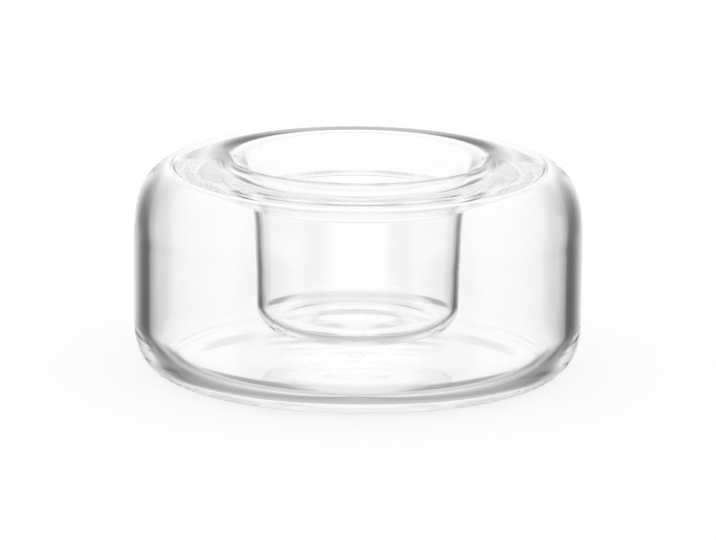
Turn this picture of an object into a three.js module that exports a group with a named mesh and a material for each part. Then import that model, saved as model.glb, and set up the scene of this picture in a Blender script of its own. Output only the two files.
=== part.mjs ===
// Double-walled glass votive holder: a low round drum of clear glass with a candle well in its middle.
// Two blown blanks make it. The outer shell is foot, side and shoulder. The inner cup is the candle well,
// and its flared lip reaches out to the shell's mouth, where the two are fused edge to edge. A drop of
// glass closes the vent in the foot, which let the hot air out from between the walls while they were fused.
// Millimetres, +Z up. The origin is the centre of the foot, on the surface that the holder stands on.
import * as THREE from "three";

// The drum's outside
const outerDiameter = 100;
const height = 48;
const shoulderDrop = 19; // from the crest of the rim down to where the side runs straight
const shoulderFullness = 3.1; // exponent of the curve: 2 is an ellipse, more is squarer
const footCornerReach = 8; // from the side in to the ring that the holder stands on
const footCornerRise = 11;
const footCornerFullness = 2.3;
const footRingWidth = 7;
const kickHeight = 0.8; // how far the middle of the foot is pushed up inside that ring

// Walls of the outer shell
const sideWall = 3.4;
const baseWall = 3.1;
const crownWall = 4.2; // over the circle where the air space is highest

// The air space between the two walls
const crownDiameter = 76; // circle on which it is highest
const airShoulderDrop = 13; // from that circle's height down to the straight side
const airShoulderFullness = 2.4;
const airCornerReach = 6.5; // from the side in to the shell's flat floor
const airCornerRise = 8;
const airCornerFullness = 2.2;

// The candle well
const wellDiameter = 44.2; // just under the flared lip
const wellFloorDiameter = 43; // where the wall meets the floor's round corner
const wellFloorHeight = 10.8; // top of the floor that the candle stands on
const wellCornerRadius = 4.2;
const wellWall = 1; // just under the lip
const wellFootWall = 1.1; // the same wall where it meets the floor's corner
const wellFloorWall = 1.6;
const floorLensDiameter = 22; // inside this circle the floor is thicker, from the blowing
const floorLensDepth = 0.5;

// The flared lip
const lipReach = 7.2; // from the well's wall out to the crest, where lip and shell are fused
const lipDrop = 9.5; // from the crest down to where the well's wall runs straight
const lipFullness = 2.1;
const rootDrop = 5.4; // on the air side: from the crown down to the well's wall
const rootFullness = 1.45;

// The vent in the foot and the glass that closes it
const ventDiameter = 4;
const sealDropDepth = 0.1; // how far its round end hangs down, which stays clear of the table

const segments = 60; // facets round the axis
const shoulderSteps = 14;
const cornerSteps = 8;
const lipSteps = 9;
const shallowSteps = 4; // on the foot's kick, the floor's thicker middle and the seal's round end

// Radii and heights that the pieces share
const outerRadius = outerDiameter / 2;
const airRadius = outerRadius - sideWall;
const footRingRadius = outerRadius - footCornerReach;
const kickRadius = footRingRadius - footRingWidth;
const ventRadius = ventDiameter / 2;
const wellRadius = wellDiameter / 2;
const wellOuterRadius = wellRadius + wellWall;
const crestRadius = wellRadius + lipReach;
const crownRadius = crownDiameter / 2;
const crownHeight = height - crownWall;

const clearGlass = {
  color: 0xf4f8f7,
  roughness: 0.02,
  metalness: 0,
  transparent: true,
  opacity: 0.35,
};

// A quarter of a superellipse about (radius, level), from beside its centre to above or below it.
// reach and rise are its half-axes, and their signs say which quarter.
function corner(radius, level, reach, rise, fullness, steps) {
  const points = [];
  for (let i = 0; i <= steps; i++) {
    const angle = (Math.PI / 2) * (i / steps);
    const across = Math.max(0, Math.cos(angle)) ** (2 / fullness);
    const up = Math.max(0, Math.sin(angle)) ** (2 / fullness);
    points.push(new THREE.Vector2(radius + reach * across, level + rise * up));
  }
  return points;
}

// Roof of the air space from its crown in to the well's wall, between two radii. Shell and cup each
// have a stretch of it, and the stretches meet under the crest.
function airRoof(fromRadius, toRadius, steps) {
  const reach = crownRadius - wellOuterRadius;
  const points = [];
  for (let i = 0; i <= steps; i++) {
    const even = i / steps;
    const radius = fromRadius + (toRadius - fromRadius) * even;
    const across = Math.min(1, (crownRadius - radius) / reach);
    const up = (1 - across ** rootFullness) ** (1 / rootFullness);
    points.push(new THREE.Vector2(radius, crownHeight - rootDrop + rootDrop * up));
  }
  return points;
}

// A shallow swelling of a level face: it stands off by rise at the first radius and runs out smoothly
// to the face's level at the second. A negative rise hangs down.
function swelling(fromRadius, toRadius, level, rise) {
  const points = [];
  for (let i = 0; i <= shallowSteps; i++) {
    const share = i / shallowSteps;
    const radius = fromRadius + (toRadius - fromRadius) * share;
    points.push(new THREE.Vector2(radius, level + rise * Math.cos((Math.PI / 2) * share) ** 2));
  }
  return points;
}

// Stretches of a profile in one line. Where two meet, their shared point is kept once.
function joined(...stretches) {
  const points = [];
  for (const point of stretches.flat()) {
    const last = points.at(-1);
    if (!last || last.distanceTo(point) > 1e-6) points.push(point);
  }
  return points;
}

// A piece turned about +Z. Its profile runs anticlockwise round the glass, with the axis on its left.
function turned(name, profile) {
  const geometry = new THREE.LatheGeometry(profile, segments);
  geometry.rotateX(Math.PI / 2);
  const mesh = new THREE.Mesh(geometry, new THREE.MeshStandardMaterial(clearGlass));
  mesh.name = name;
  return mesh;
}

// Up the outside from the vent to the crest, down through the fused edge, and back along the air space.
function outerShell() {
  const footCorner = corner(
    footRingRadius,
    footCornerRise,
    footCornerReach,
    -footCornerRise,
    footCornerFullness,
    cornerSteps,
  );
  const shoulder = corner(
    crestRadius,
    height - shoulderDrop,
    outerRadius - crestRadius,
    shoulderDrop,
    shoulderFullness,
    shoulderSteps,
  );
  const airShoulder = corner(
    crownRadius,
    crownHeight - airShoulderDrop,
    airRadius - crownRadius,
    airShoulderDrop,
    airShoulderFullness,
    cornerSteps,
  );
  const airCorner = corner(
    airRadius - airCornerReach,
    baseWall + airCornerRise,
    airCornerReach,
    -airCornerRise,
    airCornerFullness,
    cornerSteps,
  );
  const vent = [new THREE.Vector2(ventRadius, baseWall), new THREE.Vector2(ventRadius, kickHeight)];
  return turned(
    "outer_shell",
    joined(
      swelling(ventRadius, kickRadius, 0, kickHeight),
      footCorner.reverse(),
      shoulder,
      airRoof(crestRadius, crownRadius, cornerSteps / 2),
      airShoulder.reverse(),
      airCorner,
      vent,
    ),
  );
}

// Along the underside of the floor, up the air side, in through the fused edge and down into the well.
function innerCup() {
  const floorRadius = wellFloorDiameter / 2;
  const underside = wellFloorHeight - wellFloorWall;
  const outerCornerReach = wellCornerRadius + wellFootWall;
  const outerCornerRise = wellCornerRadius + wellFloorWall;
  const outerCorner = corner(
    floorRadius - wellCornerRadius,
    wellFloorHeight + wellCornerRadius,
    outerCornerReach,
    -outerCornerRise,
    2,
    cornerSteps,
  );
  const lip = corner(crestRadius, height - lipDrop, -lipReach, lipDrop, lipFullness, lipSteps);
  const innerCorner = corner(
    floorRadius - wellCornerRadius,
    wellFloorHeight + wellCornerRadius,
    wellCornerRadius,
    -wellCornerRadius,
    2,
    cornerSteps,
  );
  const floorCentre = new THREE.Vector2(0, wellFloorHeight);
  return turned(
    "inner_cup",
    joined(
      swelling(0, floorLensDiameter / 2, underside, -floorLensDepth),
      outerCorner.reverse(),
      airRoof(wellOuterRadius, crestRadius, lipSteps),
      lip.reverse(),
      innerCorner,
      floorCentre,
    ),
  );
}

// Fills the vent, level with the shell's floor above and with a shallow round end under the foot.
function ventSeal() {
  const roundEnd = corner(0, kickHeight, ventRadius, -sealDropDepth, 2, shallowSteps);
  const top = [new THREE.Vector2(ventRadius, baseWall), new THREE.Vector2(0, baseWall)];
  return turned("vent_seal", joined(roundEnd.reverse(), top));
}

const holder = new THREE.Group();
holder.add(outerShell(), innerCup(), ventSeal());

export default holder;
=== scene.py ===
"""Looks of the double-walled glass votive holder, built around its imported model.

Blender units are metres. Sizes below are in millimetres and go through MM. +Z is up, and the holder
stands on Z = 0 with its axis through the origin.
"""

import math

import bpy
import numpy as np
from mathutils import Matrix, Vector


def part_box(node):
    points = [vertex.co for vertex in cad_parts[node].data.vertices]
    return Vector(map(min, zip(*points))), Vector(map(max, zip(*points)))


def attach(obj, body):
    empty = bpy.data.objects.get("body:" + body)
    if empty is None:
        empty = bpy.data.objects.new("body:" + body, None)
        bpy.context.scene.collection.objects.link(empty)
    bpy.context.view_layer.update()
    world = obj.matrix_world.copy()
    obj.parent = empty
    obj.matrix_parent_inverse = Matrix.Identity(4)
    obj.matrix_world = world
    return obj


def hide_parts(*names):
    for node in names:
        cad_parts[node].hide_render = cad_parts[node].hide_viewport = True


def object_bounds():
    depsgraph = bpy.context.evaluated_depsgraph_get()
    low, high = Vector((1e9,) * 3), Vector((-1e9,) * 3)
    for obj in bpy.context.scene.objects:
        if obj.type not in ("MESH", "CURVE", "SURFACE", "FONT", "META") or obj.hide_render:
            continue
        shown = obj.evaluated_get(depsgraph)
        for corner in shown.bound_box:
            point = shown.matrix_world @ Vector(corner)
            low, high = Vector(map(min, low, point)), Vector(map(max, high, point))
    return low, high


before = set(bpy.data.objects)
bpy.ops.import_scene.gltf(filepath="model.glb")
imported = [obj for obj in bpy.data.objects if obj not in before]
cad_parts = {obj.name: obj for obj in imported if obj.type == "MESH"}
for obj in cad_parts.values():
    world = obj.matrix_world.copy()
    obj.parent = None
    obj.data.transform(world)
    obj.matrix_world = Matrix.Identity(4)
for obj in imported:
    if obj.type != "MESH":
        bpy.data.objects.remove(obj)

cad_low, cad_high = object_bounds()

# Camera: a long lens a little above the rim, as for a catalogue picture. It stands on the -Y side,
# looks down by 13.1 degrees and aims just below the middle of the glass.
MM = 0.001
VIEW_DISTANCE = 1200 * MM
VIEW_ELEVATION = math.radians(13.1)
VIEW_ROLL = math.radians(0.53)
AIM_HEIGHT = 22.0 * MM
SENSOR_WIDTH = 36.0
PHOTO_WIDTH = 716  # pixels
PIXELS_PER_MM = 4.478  # across the photograph, at the holder's axis

camera_data = bpy.data.cameras.new("camera")
camera_data.sensor_width = SENSOR_WIDTH
camera_data.lens = PIXELS_PER_MM * VIEW_DISTANCE / MM * SENSOR_WIDTH / PHOTO_WIDTH
camera_data.clip_start = 0.1
camera_data.clip_end = 50
camera = bpy.data.objects.new("camera", camera_data)
camera.location = (
    0,
    -VIEW_DISTANCE * math.cos(VIEW_ELEVATION),
    AIM_HEIGHT + VIEW_DISTANCE * math.sin(VIEW_ELEVATION),
)
tilt = Matrix.Rotation(math.radians(90) - VIEW_ELEVATION, 3, "X")
camera.rotation_euler = (tilt @ Matrix.Rotation(VIEW_ROLL, 3, "Z")).to_euler()
bpy.context.scene.collection.objects.link(camera)
bpy.context.scene.camera = camera


# Outer shell: foot, side and shoulder of the drum, blown in one from borosilicate glass. The wall is
# 3.4 mm at the side and thicker in the foot's corners. It is open at the crest of the rim, where
# the inner cup's lip is fused to it, and at a vent in the middle of the foot.
OUTER_RADIUS = (cad_high.x - cad_low.x) / 2
HEIGHT = cad_high.z
CREST_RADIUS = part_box("inner_cup")[1].x  # where shell and cup are fused
SHOULDER_DROP = 19 * MM
SHOULDER_FULLNESS = 3.1
FOOT_REACH = 8 * MM
FOOT_RISE = 11 * MM
FOOT_FULLNESS = 2.3
FOOT_RING_WIDTH = 7 * MM
KICK_HEIGHT = 0.8 * MM
SIDE_WALL = 3.4 * MM
BASE_WALL = 3.1 * MM
CROWN_RADIUS = 38 * MM
CROWN_WALL = 4.2 * MM
CROWN_HEIGHT = HEIGHT - CROWN_WALL
AIR_SHOULDER_DROP = 13 * MM
AIR_SHOULDER_FULLNESS = 2.4
AIR_CORNER_REACH = 6.5 * MM
AIR_CORNER_RISE = 8 * MM
AIR_CORNER_FULLNESS = 2.2
WELL_OUTER_RADIUS = 23.1 * MM  # of the cup's wall, where the air space ends
ROOT_DROP = 5.4 * MM
ROOT_FULLNESS = 1.45
VENT_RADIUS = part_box("vent_seal")[1].x

GLASS_ROUGHNESS = 0.02
ROOF_ROUGHNESS = 0.1
AROUND = 256  # columns of faces round the axis
WELD = 1  # material slot of the fused faces
FLAMED = 2  # material slot of the air space's roof, which the burner worked


def corner(radius, level, reach, rise, fullness, steps=40):
    """Quarter of a superellipse: radius + reach cos^(2/fullness), level + rise sin^(2/fullness)."""
    angle = np.linspace(0, np.pi / 2, steps + 1)
    across = np.clip(np.cos(angle), 0, 1) ** (2 / fullness)
    up = np.clip(np.sin(angle), 0, 1) ** (2 / fullness)
    return np.stack([radius + reach * across, level + rise * up], axis=1)


def straight(start, end, steps=1):
    """Evenly spaced points from start to end."""
    share = np.linspace(0, 1, steps + 1)[:, None]
    return np.array(start) * (1 - share) + np.array(end) * share


def air_roof(from_radius, to_radius, steps=40):
    """Roof of the air space from its crown in to the cup's wall: a superellipse of the radius."""
    even = np.linspace(0, 1, steps + 1)
    radius = from_radius + (to_radius - from_radius) * even
    across = np.clip((CROWN_RADIUS - radius) / (CROWN_RADIUS - WELL_OUTER_RADIUS), 0, 1)
    up = (1 - across**ROOT_FULLNESS) ** (1 / ROOT_FULLNESS)
    return np.stack([radius, CROWN_HEIGHT - ROOT_DROP + ROOT_DROP * up], axis=1)


def smooth(start_radius, end_radius, low, high, steps=24):
    """From high at the start radius to low at the end radius, as the square of a cosine falls."""
    share = np.linspace(0, 1, steps + 1)
    radius = start_radius + (end_radius - start_radius) * share
    return np.stack([radius, low + (high - low) * np.cos(np.pi / 2 * share) ** 2], axis=1)


def profile_normals(points):
    """Outward normals of one smooth stretch: its tangent by differences, a quarter turn right."""
    tangent = np.gradient(points, axis=0, edge_order=2 if len(points) > 2 else 1)
    length = np.linalg.norm(tangent, axis=1, keepdims=True)
    return np.stack([tangent[:, 1], -tangent[:, 0]], axis=1) / length


def turned(name, runs):
    """Turns a closed profile about +Z into a mesh with exact normals.

    runs is a list of (slot, stretches). Inside a run the stretches join smoothly, and from one run
    to the next there is an edge. Each point (r, z) becomes the ring (r cos a, r sin a, z).
    """
    angle = np.linspace(0, 2 * np.pi, AROUND, endpoint=False)
    ring = np.stack([np.cos(angle), np.sin(angle)], axis=1)
    points, normals, slots = [], [], []
    for slot, stretches in runs:
        line = np.concatenate([stretches[0]] + [s[1:] for s in stretches[1:]])
        points.append(line)
        normals.append(profile_normals(line))
        slots.append(np.full(len(line) - 1, slot))
    rows = np.concatenate([p[:-1] for p in points] + [points[-1][-1:]])
    closed = np.allclose(rows[0], rows[-1])
    rows = rows[:-1] if closed else rows
    start_normal = np.concatenate([n[:-1] for n in normals])
    end_normal = np.concatenate([n[1:] for n in normals])
    slots = np.concatenate(slots)

    on_axis = rows[:, 0] < 1e-9
    counts = np.where(on_axis, 1, AROUND)
    first = np.concatenate([[0], np.cumsum(counts)[:-1]])
    column = np.arange(AROUND)
    index = first[:, None] + np.where(on_axis[:, None], 0, column[None, :])
    vertices = np.zeros((counts.sum(), 3))
    level = np.broadcast_to(rows[:, None, 1:], (len(rows), AROUND, 1))
    vertices[index] = np.concatenate([rows[:, None, :1] * ring[None], level], axis=2)

    low = np.arange(len(slots))
    high = (low + 1) % len(rows)
    after = (column + 1) % AROUND
    quads = np.stack([index[low], index[low][:, after], index[high][:, after], index[high]], axis=2)
    spin = np.stack([ring, ring[after], ring[after], ring], axis=1)
    flat = np.stack([start_normal, start_normal, end_normal, end_normal], axis=1)
    upward = np.broadcast_to(flat[:, None, :, 1:], (len(slots), AROUND, 4, 1))
    quad_normals = np.concatenate([flat[:, None, :, :1] * spin[None], upward], axis=3)
    faces, face_normals, face_slots = [], [], []
    for kind, keep in (
        (~on_axis[low] & ~on_axis[high], [0, 1, 2, 3]),
        (on_axis[low], [0, 2, 3]),
        (on_axis[high], [0, 1, 2]),
    ):
        faces += quads[kind][:, :, keep].reshape(-1, len(keep)).tolist()
        face_normals.append(quad_normals[kind][:, :, keep].reshape(-1, 3))
        face_slots.append(np.repeat(slots[kind], AROUND))

    mesh = bpy.data.meshes.new(name)
    mesh.from_pydata(vertices, [], faces)
    mesh.polygons.foreach_set("material_index", np.concatenate(face_slots).astype(np.int32))
    mesh.polygons.foreach_set("use_smooth", np.ones(len(faces), bool))
    mesh.update()
    mesh.normals_split_custom_set(np.concatenate(face_normals))
    piece = bpy.data.objects.new(name, mesh)
    bpy.context.scene.collection.objects.link(piece)
    return piece


def colour(code):
    """An sRGB hex value such as "#F4F8F7" as linear red, green, blue and full alpha."""
    parts = [int(code[i : i + 2], 16) / 255 for i in (1, 3, 5)]
    return [p / 12.92 if p <= 0.04045 else ((p + 0.055) / 1.055) ** 2.4 for p in parts] + [1.0]


def add(tree, kind, settings=(), links=()):
    """Adds a node, sets its properties or inputs by name, and links its inputs from sockets."""
    node = tree.nodes.new(kind)
    for key, value in dict(settings).items():
        if isinstance(key, str) and hasattr(node, key):
            setattr(node, key, value)
        else:
            node.inputs[key].default_value = value
    for key, socket in dict(links).items():
        tree.links.new(socket, node.inputs[key])
    return node


def new_material(name):
    """An empty node material: its tree and its output node."""
    material = bpy.data.materials.new(name)
    material.use_nodes = True
    material.node_tree.nodes.clear()
    return material, material.node_tree, material.node_tree.nodes.new("ShaderNodeOutputMaterial")


def blown_borosilicate(name, roughness):
    """Borosilicate glass, blown and then polished by the flame: colourless, with a slow waviness
    left from the blowing that bends what shows through it a little. Rougher glass blurs it too."""
    refraction = 1.474
    wave_length = 26 * MM
    wave_depth = 0.02 * MM
    material, tree, out = new_material(name)
    place = add(tree, "ShaderNodeTexCoord").outputs["Object"]
    wave = add(
        tree, "ShaderNodeTexNoise", {"Scale": 1 / wave_length, "Detail": 1.0}, {"Vector": place}
    )
    tint = add(tree, "ShaderNodeMix", {"data_type": "RGBA"}, {"Factor": wave.outputs["Fac"]})
    tint.inputs[6].default_value = colour("#FFFFFF")
    tint.inputs[7].default_value = colour("#FDFDFD")
    bump = add(
        tree,
        "ShaderNodeBump",
        {"Strength": 1.0, "Distance": wave_depth},
        {"Height": wave.outputs["Fac"]},
    )
    glass = add(
        tree,
        "ShaderNodeBsdfPrincipled",
        {"IOR": refraction, "Roughness": roughness, "Transmission Weight": 1.0},
        {"Base Color": tint.outputs[2], "Normal": bump.outputs["Normal"]},
    )
    tree.links.new(glass.outputs[0], out.inputs["Surface"])
    return material


def fused_face():
    """The fused faces, where two blanks melted into one glass: nothing is seen of them."""
    material, tree, out = new_material("fused_glass_seam")
    clear = add(tree, "ShaderNodeBsdfTransparent")
    tree.links.new(clear.outputs[0], out.inputs["Surface"])
    return material


glass = blown_borosilicate("borosilicate_glass_blown", GLASS_ROUGHNESS)
flamed = blown_borosilicate("borosilicate_glass_flame_worked", ROOF_ROUGHNESS)
seam = fused_face()


def finish_piece(piece, node):
    """Gives a glass piece its materials and lets it stand for its node."""
    piece.data.materials.append(glass)
    piece.data.materials.append(seam)
    piece.data.materials.append(flamed)
    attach(piece, "root")
    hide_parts(node)


foot_flat = OUTER_RADIUS - FOOT_REACH
kick_radius = foot_flat - FOOT_RING_WIDTH
air_radius = OUTER_RADIUS - SIDE_WALL
side_high = HEIGHT - SHOULDER_DROP
foot_corner = corner(foot_flat, FOOT_RISE, FOOT_REACH, -FOOT_RISE, FOOT_FULLNESS)[::-1]
shoulder = corner(
    CREST_RADIUS, side_high, OUTER_RADIUS - CREST_RADIUS, SHOULDER_DROP, SHOULDER_FULLNESS, 72
)
air_shoulder = corner(
    CROWN_RADIUS,
    CROWN_HEIGHT - AIR_SHOULDER_DROP,
    air_radius - CROWN_RADIUS,
    AIR_SHOULDER_DROP,
    AIR_SHOULDER_FULLNESS,
)[::-1]
air_corner = corner(
    air_radius - AIR_CORNER_REACH,
    BASE_WALL + AIR_CORNER_RISE,
    AIR_CORNER_REACH,
    -AIR_CORNER_RISE,
    AIR_CORNER_FULLNESS,
)
outside = [
    smooth(VENT_RADIUS, kick_radius, 0, KICK_HEIGHT),
    straight((kick_radius, 0), (foot_flat, 0), 2),
    foot_corner,
    straight(foot_corner[-1], shoulder[0], 4),
    shoulder,
]
roof = air_roof(CREST_RADIUS, CROWN_RADIUS)
airside = [
    air_shoulder,
    straight(air_shoulder[-1], air_corner[0], 4),
    air_corner,
    straight(air_corner[-1], (VENT_RADIUS, BASE_WALL), 8),
]
weld = straight(shoulder[-1], roof[0])
vent = straight((VENT_RADIUS, BASE_WALL), (VENT_RADIUS, KICK_HEIGHT))
shell_runs = [(0, outside), (WELD, [weld]), (FLAMED, [roof]), (0, airside), (WELD, [vent])]
finish_piece(turned("outer_shell_glass", shell_runs), "outer_shell")

# Inner cup: the candle well, blown thinner than the shell, with a flared lip that reaches out to
# the crest of the rim and is fused there. Its floor is flat on top and thicker in the middle.
WELL_RADIUS = 22.1 * MM
WELL_FLOOR_RADIUS = 21.5 * MM
WELL_FLOOR_HEIGHT = 10.8 * MM
WELL_CORNER = 4.2 * MM
WELL_FOOT_WALL = 1.1 * MM
WELL_FLOOR_WALL = 1.6 * MM
LENS_RADIUS = 11 * MM
LENS_DEPTH = 0.5 * MM
LIP_DROP = 9.5 * MM
LIP_FULLNESS = 2.1

corner_centre = (WELL_FLOOR_RADIUS - WELL_CORNER, WELL_FLOOR_HEIGHT + WELL_CORNER)
underside = WELL_FLOOR_HEIGHT - WELL_FLOOR_WALL
outer_corner = corner(
    *corner_centre, WELL_CORNER + WELL_FOOT_WALL, -(WELL_CORNER + WELL_FLOOR_WALL), 2
)[::-1]
inner_corner = corner(*corner_centre, WELL_CORNER, -WELL_CORNER, 2)
cup_roof = air_roof(WELL_OUTER_RADIUS, CREST_RADIUS, 60)
lip = corner(
    CREST_RADIUS, HEIGHT - LIP_DROP, -(CREST_RADIUS - WELL_RADIUS), LIP_DROP, LIP_FULLNESS, 60
)[::-1]
cup_outside = [
    smooth(0, LENS_RADIUS, underside, underside - LENS_DEPTH),
    straight((LENS_RADIUS, underside), outer_corner[0], 2),
    outer_corner,
    straight(outer_corner[-1], cup_roof[0], 8),
]
cup_inside = [
    lip,
    straight(lip[-1], inner_corner[0], 8),
    inner_corner,
    straight(inner_corner[-1], (0, WELL_FLOOR_HEIGHT), 8),
]
cup_weld = straight(cup_roof[-1], lip[0])
cup_runs = [(0, cup_outside), (FLAMED, [cup_roof]), (WELD, [cup_weld]), (0, cup_inside)]
finish_piece(turned("inner_cup_glass", cup_runs), "inner_cup")

# Vent seal: a drop of the same glass melted into the vent in the foot once the rim was fused. It is
# level with the shell's floor inside and has a shallow round end underneath, clear of the table.
SEAL_DROP = 0.1 * MM

seal_end = corner(0, KICK_HEIGHT, VENT_RADIUS, -SEAL_DROP, 2, 12)[::-1]
seal_side = straight((VENT_RADIUS, KICK_HEIGHT), (VENT_RADIUS, BASE_WALL))
seal_top = straight((VENT_RADIUS, BASE_WALL), (0, BASE_WALL), 4)
seal_runs = [(0, [seal_end]), (WELD, [seal_side]), (0, [seal_top])]
finish_piece(turned("vent_seal_glass", seal_runs), "vent_seal")

# Table: a plain white board that carries the holder's faint shadow. The glass shows the tent in its
# place, so that the board doesn't hide the lower half of the tent from it.
BOARD_HALF = 3.0
BOARD_GLOW = 1.01  # just past white, so that the board away from the shadow shows as plain white
SHADOW_SHARE = 0.2  # how much of the board's look is its own shading

board_mesh = bpy.data.meshes.new("table_board")
board_corners = np.array([[-1, -1, 0], [1, -1, 0], [1, 1, 0], [-1, 1, 0]]) * BOARD_HALF
board_mesh.from_pydata(board_corners, [], [[0, 1, 2, 3]])
board = bpy.data.objects.new("table_board", board_mesh)
bpy.context.scene.collection.objects.link(board)
board.visible_transmission = False
board.visible_glossy = False
board_material, tree, out = new_material("white_board")
matt = add(tree, "ShaderNodeBsdfDiffuse", {"Color": colour("#FCFCFC")})
white = add(tree, "ShaderNodeEmission", {"Color": colour("#FFFFFF"), "Strength": BOARD_GLOW})
ray = add(tree, "ShaderNodeLightPath")
share = add(
    tree,
    "ShaderNodeMath",
    {"operation": "MULTIPLY", 1: 1 - SHADOW_SHARE},
    {0: ray.outputs["Is Camera Ray"]},
)
mix = add(
    tree,
    "ShaderNodeMixShader",
    {},
    {"Fac": share.outputs[0], 1: matt.outputs[0], 2: white.outputs[0]},
)
tree.links.new(mix.outputs[0], out.inputs["Surface"])
board_mesh.materials.append(board_material)

# Light: a white tent round the table. Only the glass shows the dark cards in it, which stand in a
# ring, deepest below the horizon, and draw the dark edges of clear glass. Small dark flags behind the
# holder draw the arc at the back of its rim and the faint arcs in its base.
CARD_RING = [  # bearing in degrees, with +Y at 90, and the tone there
    (40, "#FFFFFF"),
    (46, "#A0A0A0"),
    (50, "#6B6B6B"),
    (58, "#6A6A6A"),
    (66, "#707070"),
    (70, "#949494"),
    (74, "#C6C6C6"),
    (78, "#E0E0E0"),
    (82, "#F0F0F0"),
    (85.5, "#F8F8F8"),
    (87.5, "#FAFAFA"),
    (89, "#FFFFFF"),
    (91, "#FFFFFF"),
    (92.5, "#FAFAFA"),
    (94.5, "#F8F8F8"),
    (98, "#F0F0F0"),
    (102, "#E0E0E0"),
    (106, "#C6C6C6"),
    (110, "#949494"),
    (114, "#707070"),
    (122, "#6A6A6A"),
    (130, "#707070"),
    (134, "#A4A4A4"),
    (140, "#FFFFFF"),
    (200, "#FFFFFF"),
    (210, "#B0B0B0"),
    (230, "#B0B0B0"),
    (240, "#FFFFFF"),
    (300, "#FFFFFF"),
    (310, "#B0B0B0"),
    (330, "#B0B0B0"),
    (340, "#FFFFFF"),
]
DEEPEST = 2.1
CARD_DEPTH = [  # elevation in degrees and the power that the ring's tone is raised to there
    (-60, 0.12),
    (-44, 0.25),
    (-35, 0.5),
    (-30, 1.1),
    (-26, DEEPEST),
    (-22, DEEPEST),
    (-18, 1.6),
    (-12, 1),
    (-3, 0.9),
    (3, 0.5),
    (7, 0.2),
    (10, 0.06),
    (16, 0),
]
PANEL_TONE = [  # of the panel behind the holder: elevation in degrees and the tone there
    (-90, "#B8B8B8"),
    (-38, "#C4C4C4"),
    (-31, "#DCDCDC"),
    (-24, "#FAFAFA"),
    (-19, "#FEFEFE"),
    (60, "#FDFDFD"),
]
PANEL_SPAN = [(15, 0), (40, 1), (140, 1), (165, 0)]  # bearing and the panel's share there
TENT_TONE = "#FDFDFD"  # away from the panel
FLAG_TONE = "#202020"
FLAG_SPAN = [  # bearing and the upper flag's share there
    (83, 0),
    (84, 0.6),
    (86, 0.6),
    (87.2, 0.1),
    (88, 0.3),
    (88.7, 1),
    (91.3, 1),
    (92, 0.3),
    (92.8, 0.1),
    (94, 0.6),
    (96, 0.6),
    (97, 0),
]
FLAG_HEIGHT = [(8.4, 0), (9, 1), (12, 1), (12.6, 0)]  # elevation and its share there
SIDE_FLAG_SPAN = [  # the two lower flags, in the same way
    (80, 0),
    (84, 0.8),
    (87, 0.8),
    (88.5, 0.15),
    (91.5, 0.15),
    (93, 0.8),
    (96, 0.8),
    (100, 0),
]
SIDE_FLAG_HEIGHT = [(-29.5, 0), (-28, 1), (-23, 1), (-21.5, 0)]
TENT_GAIN = 0.05  # makes good what the glass takes from the tent's light
LIGHT_BOUNCES = 200


def ramp_of(tree, factor, stops):
    """A colour ramp through (position, tone) stops in any order, each tone a hex code or a number."""
    node = add(tree, "ShaderNodeValToRGB", {}, {"Fac": factor})
    elements = node.color_ramp.elements
    stops = sorted(
        (position, colour(tone) if isinstance(tone, str) else [tone] * 3 + [1])
        for position, tone in stops
    )
    for element, (position, value) in zip(elements, (stops[0], stops[-1])):
        element.position, element.color = position, value
    for position, value in stops[1:-1]:
        elements.new(position).color = value
    return node.outputs["Color"]


def by_bearing(stops):
    """Bearings in degrees as positions between 0 and 1 round the circle."""
    return [(angle / 360, tone) for angle, tone in stops]


def by_height(stops):
    """Elevations in degrees as positions between straight down, 0, and straight up, 1."""
    return [((math.sin(math.radians(angle)) + 1) / 2, tone) for angle, tone in stops]


def flag_share(tree, across, upright, span, rise):
    """How much of a flag is in a direction: its share by bearing times its share by elevation."""
    shares = ramp_of(tree, across, by_bearing(span)), ramp_of(tree, upright, by_height(rise))
    node = add(tree, "ShaderNodeMath", {"operation": "MULTIPLY"}, {0: shares[0], 1: shares[1]})
    return node.outputs[0]


world = bpy.data.worlds.new("light_tent")
bpy.context.scene.world = world
world.use_nodes = True
tree = world.node_tree
tree.nodes.clear()
out = tree.nodes.new("ShaderNodeOutputWorld")
direction = add(tree, "ShaderNodeTexCoord").outputs["Generated"]
parts = add(tree, "ShaderNodeSeparateXYZ", {}, {0: direction})
bearing = add(
    tree,
    "ShaderNodeMath",
    {"operation": "ARCTAN2"},
    {0: parts.outputs["Y"], 1: parts.outputs["X"]},
)
turn = add(
    tree,
    "ShaderNodeMath",
    {"operation": "MULTIPLY_ADD", 1: 1 / (2 * math.pi), 2: 1.0},
    {0: bearing.outputs[0]},
)
wrapped = add(tree, "ShaderNodeMath", {"operation": "FRACT"}, {0: turn.outputs[0]})
height = add(
    tree,
    "ShaderNodeMath",
    {"operation": "MULTIPLY_ADD", 1: 0.5, 2: 0.5},
    {0: parts.outputs["Z"]},
)
across, upright = wrapped.outputs[0], height.outputs[0]
cards = ramp_of(tree, across, by_bearing(CARD_RING))
depth = ramp_of(tree, upright, by_height([(a, d / DEEPEST) for a, d in CARD_DEPTH]))
power = add(tree, "ShaderNodeMath", {"operation": "MULTIPLY", 1: DEEPEST}, {0: depth})
panel = ramp_of(tree, upright, by_height(PANEL_TONE))
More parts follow.
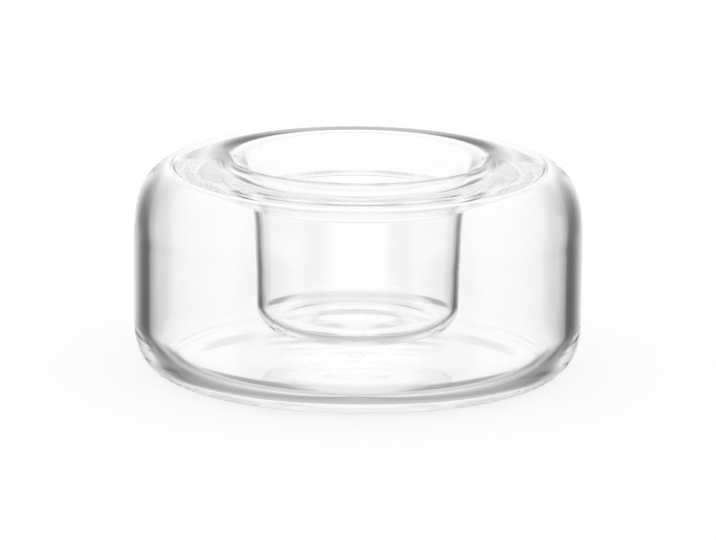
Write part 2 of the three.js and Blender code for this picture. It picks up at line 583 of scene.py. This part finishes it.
span = ramp_of(tree, across, by_bearing(PANEL_SPAN))
tone = add(tree, "ShaderNodeMix", {"data_type": "RGBA"}, {"Factor": span, 7: panel})
tone.inputs[6].default_value = colour(TENT_TONE)
ring = add(tree, "ShaderNodeMath", {"operation": "POWER"}, {0: cards, 1: power.outputs[0]})
tent = add(
    tree,
    "ShaderNodeMix",
    {"data_type": "RGBA", "blend_type": "MULTIPLY", "Factor": 1.0},
    {6: ring.outputs[0], 7: tone.outputs[2]},
)
upper_flag = flag_share(tree, across, upright, FLAG_SPAN, FLAG_HEIGHT)
lower_flags = flag_share(tree, across, upright, SIDE_FLAG_SPAN, SIDE_FLAG_HEIGHT)
flags = add(tree, "ShaderNodeMath", {"operation": "ADD"}, {0: upper_flag, 1: lower_flags})
flagged = add(
    tree,
    "ShaderNodeMix",
    {"data_type": "RGBA"},
    {"Factor": flags.outputs[0], 6: tent.outputs[2]},
)
flagged.inputs[7].default_value = colour(FLAG_TONE)
ray = add(tree, "ShaderNodeLightPath")
through_glass = add(
    tree,
    "ShaderNodeMath",
    {"operation": "MAXIMUM"},
    {0: ray.outputs["Is Transmission Ray"], 1: ray.outputs["Is Glossy Ray"]},
)
seen = add(
    tree,
    "ShaderNodeMix",
    {"data_type": "RGBA"},
    {"Factor": through_glass.outputs[0], 7: flagged.outputs[2]},
)
seen.inputs[6].default_value = colour("#FFFFFF")
strength = add(
    tree,
    "ShaderNodeMath",
    {"operation": "MULTIPLY_ADD", 1: TENT_GAIN, 2: 1.0},
    {0: through_glass.outputs[0]},
)
glow = add(
    tree,
    "ShaderNodeBackground",
    {},
    {"Color": seen.outputs[2], "Strength": strength.outputs[0]},
)
tree.links.new(glow.outputs[0], out.inputs["Surface"])
bpy.context.scene.view_settings.view_transform = "Standard"
# Clear glass leads light along its walls by many mirrored bounces before it comes out.
paths = bpy.context.scene.cycles
paths.max_bounces = paths.glossy_bounces = paths.transmission_bounces = LIGHT_BOUNCES
paths.transparent_max_bounces = LIGHT_BOUNCES
